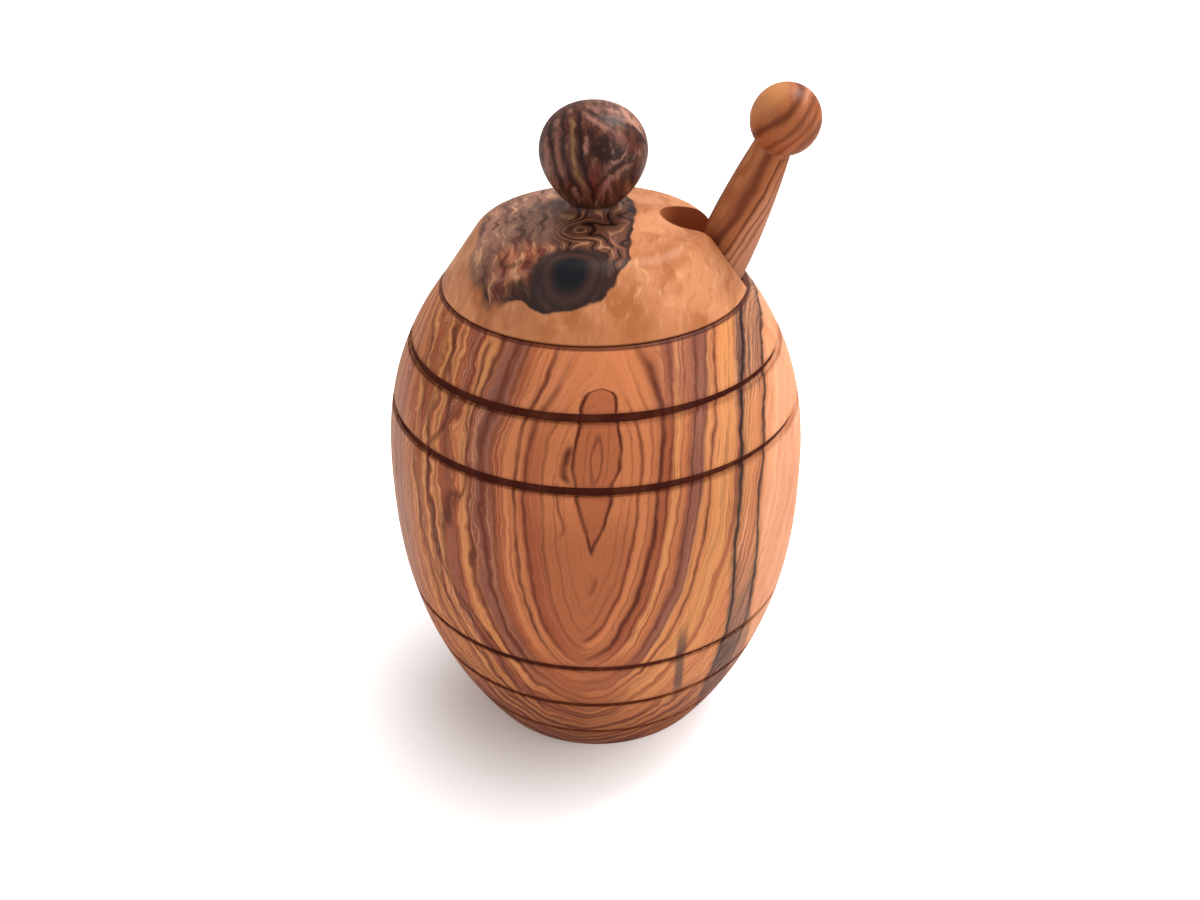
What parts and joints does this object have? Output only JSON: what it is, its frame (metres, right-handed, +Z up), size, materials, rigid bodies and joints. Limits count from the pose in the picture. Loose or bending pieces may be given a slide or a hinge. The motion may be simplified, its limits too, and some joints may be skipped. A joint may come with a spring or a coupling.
{
  "type": "wooden honey pot",
  "caption": "Turned wooden honey pot, barrel shaped with cut bands, a knobbed lid with a notch at its edge and a honey dipper leaning out of it.",
  "frame": {"origin": "centre of the pot's round foot, on the surface it stands on", "axes": "+Z up along the turning axis; +X towards the lid's notch and the leaning dipper; -Y is the front with the oval figure"},
  "size_m": [0.085, 0.085, 0.1349],
  "materials": {
    "barrel_wood": "turned olive wood with oval heartwood figure, oiled to a satin sheen, with burnt brown cut bands",
    "burl_wood": "pale olive wood with a dark burl figure over the knob and the front of the lid, oiled to a satin sheen",
    "dipper_wood": "straight grained brown olive wood, sanded and lightly oiled"
  },
  "bodies": {
    "root": {"pot": "barrel_wood", "lid": "burl_wood", "dipper": "dipper_wood"}
  },
  "joints": []
}
